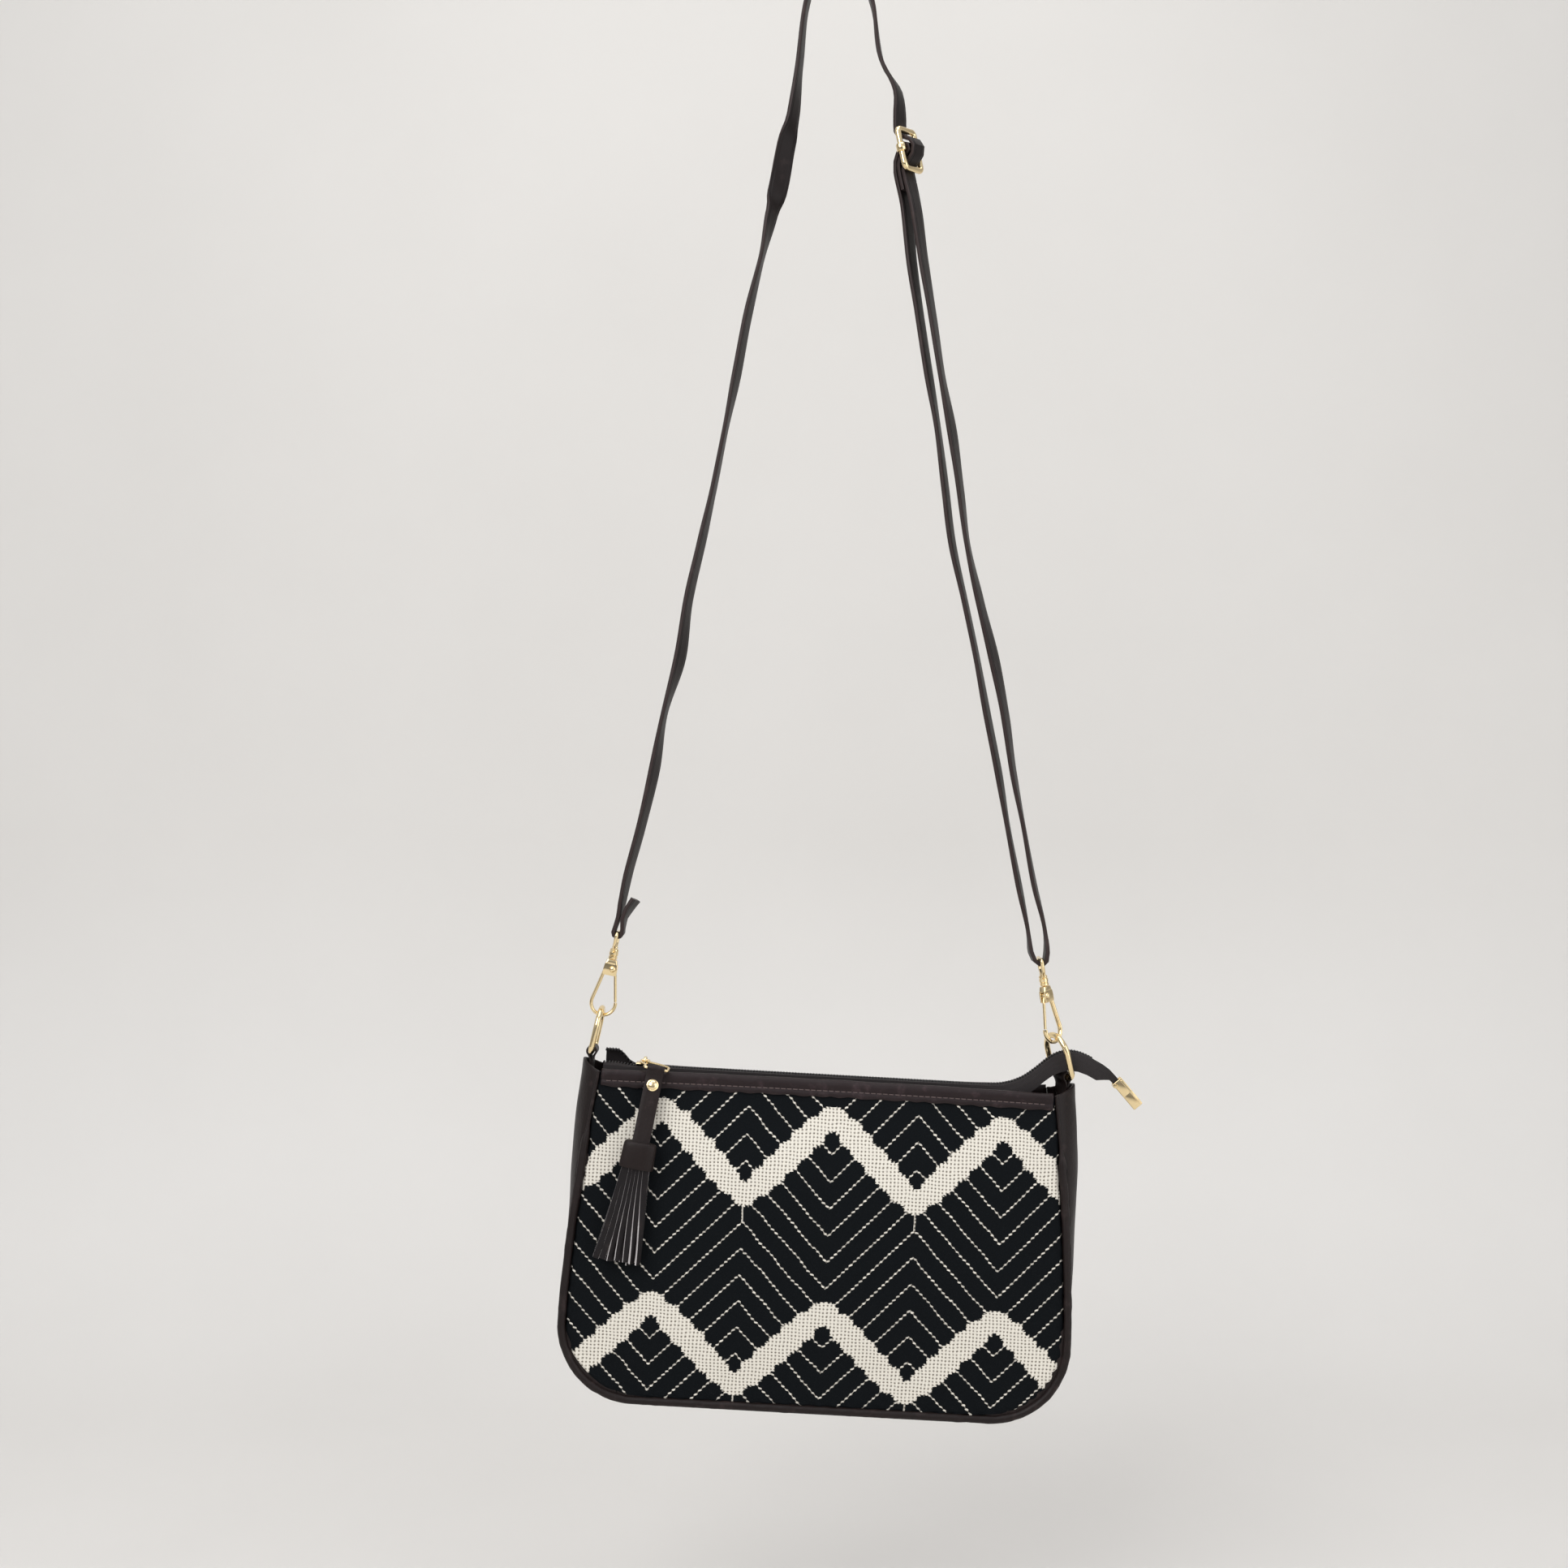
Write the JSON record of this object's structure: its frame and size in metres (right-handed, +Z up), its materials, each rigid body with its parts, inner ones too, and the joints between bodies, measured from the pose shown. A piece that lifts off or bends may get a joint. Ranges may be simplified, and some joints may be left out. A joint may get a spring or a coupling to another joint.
{
  "type": "shoulder bag",
  "caption": "Slim zipped shoulder bag with a patterned cloth front, leather edges, a tassel on the zip and a long adjustable strap on snap hooks.",
  "frame": {"origin": "underside of the strap's crest, where it hangs", "axes": "+Z up, the bag's patterned front towards -Y, +X to the right seen from the front"},
  "size_m": [0.2923, 0.0526, 0.7301],
  "materials": {
    "dark_leather": "smooth, very dark brown",
    "suede": "matt, rough cut",
    "woven_cloth": "woven, near black with cream zigzags",
    "lining_cloth": "plain weave",
    "zip_cloth": "woven tape",
    "gold_metal": "polished, pale gold"
  },
  "bodies": {
    "strap": {"strap": "dark_leather", "left_swivel_eye": "gold_metal", "right_swivel_eye": "gold_metal"},
    "adjuster": {"adjuster_frame": "gold_metal", "adjuster_bar": "gold_metal"},
    "left_hook": {"left_hook_body": "gold_metal", "left_hook_rivet": "gold_metal"},
    "left_gate": {"left_hook_gate": "gold_metal"},
    "right_hook": {"right_hook_body": "gold_metal", "right_hook_rivet": "gold_metal"},
    "right_gate": {"right_hook_gate": "gold_metal"},
    "bag": {"front_panel": "woven_cloth", "back_panel": "dark_leather", "front_piping": "dark_leather", "back_piping": "dark_leather", "gusset": "dark_leather", "front_top_band": "dark_leather", "back_top_band": "dark_leather", "lining": "lining_cloth", "zip_tape_front": "zip_cloth", "zip_tape_back": "zip_cloth", "zip_coil_front": "zip_cloth", "zip_coil_back": "zip_cloth", "zip_end_clip": "gold_metal", "left_ring_tab": "dark_leather", "right_ring_tab": "dark_leather"},
    "left_ring": {"left_ring": "gold_metal"},
    "right_ring": {"right_ring": "gold_metal"},
    "zip_slider": {"zip_slider": "gold_metal"},
    "zip_puller": {"zip_puller": "gold_metal"},
    "tassel": {"pull_strap": "dark_leather", "pull_rivet": "gold_metal", "tassel_cap": "dark_leather", "tassel_fringe": "suede"}
  },
  "joints": [
    {"name": "left_hook_swivel", "type": "hinge", "parent": "strap", "child": "left_hook", "pos_m": [-0.12041, 0, -0.52685], "axis": [0.2079, 0, 0.9781], "range_deg": [-35, 35]},
    {"name": "right_hook_swivel", "type": "hinge", "parent": "strap", "child": "right_hook", "pos_m": [0.10841, -0.00273, -0.54015], "axis": [-0.1788, 0, 0.9839], "range_deg": [-45, 12]},
    {"name": "left_gate_hinge", "type": "hinge", "parent": "left_hook", "child": "left_gate", "pos_m": [-0.11429, 0, -0.50382], "axis": [0, 1, 0], "range_deg": [0, 22], "stiffness_Nm_per_rad": 0.01, "springref_deg": -11.46},
    {"name": "right_gate_hinge", "type": "hinge", "parent": "right_hook", "child": "right_gate", "pos_m": [0.10332, -0.00358, -0.51689], "axis": [0.6957, -0.7071, 0.1264], "range_deg": [0, 22], "stiffness_Nm_per_rad": 0.01, "springref_deg": -11.46},
    {"name": "bag_swing", "type": "hinge", "parent": "strap", "child": "bag", "pos_m": [-0.006, -0.00137, -0.535], "axis": [0.9982, -0.0119, -0.058], "range_deg": [-35, 35]},
    {"name": "left_ring_swing", "type": "hinge", "parent": "bag", "child": "left_ring", "pos_m": [-0.12452, 0, -0.54448], "axis": [0, 1, 0], "range_deg": [-2, 2]},
    {"name": "right_ring_swing", "type": "hinge", "parent": "bag", "child": "right_ring", "pos_m": [0.11281, 0, -0.55754], "axis": [-0.4061, 0.9135, 0.0224], "range_deg": [-2, 2]},
    {"name": "zip_slide", "type": "slide", "parent": "bag", "child": "zip_slider", "axis": [0.9985, 0, -0.055], "range_m": [-0.01, 0.16], "deforming": ["zip_coil_front", "zip_coil_back", "zip_tape_front", "zip_tape_back"]},
    {"name": "puller_swing", "type": "hinge", "parent": "zip_slider", "child": "zip_puller", "pos_m": [-0.09788, 0, -0.54995], "axis": [0.9985, 0, -0.055], "range_deg": [-80, 0]},
    {"name": "tassel_swing", "type": "hinge", "parent": "zip_puller", "child": "tassel", "pos_m": [-0.09137, -0.015, -0.55181], "axis": [0.9811, 0, -0.1934], "range_deg": [-75, 0]},
    {"name": "adjuster_slide", "type": "slide", "parent": "strap", "child": "adjuster", "axis": [0.157, 0, -0.9876], "range_m": [-0.025, 0.24], "deforming": ["strap"]}
  ]
}
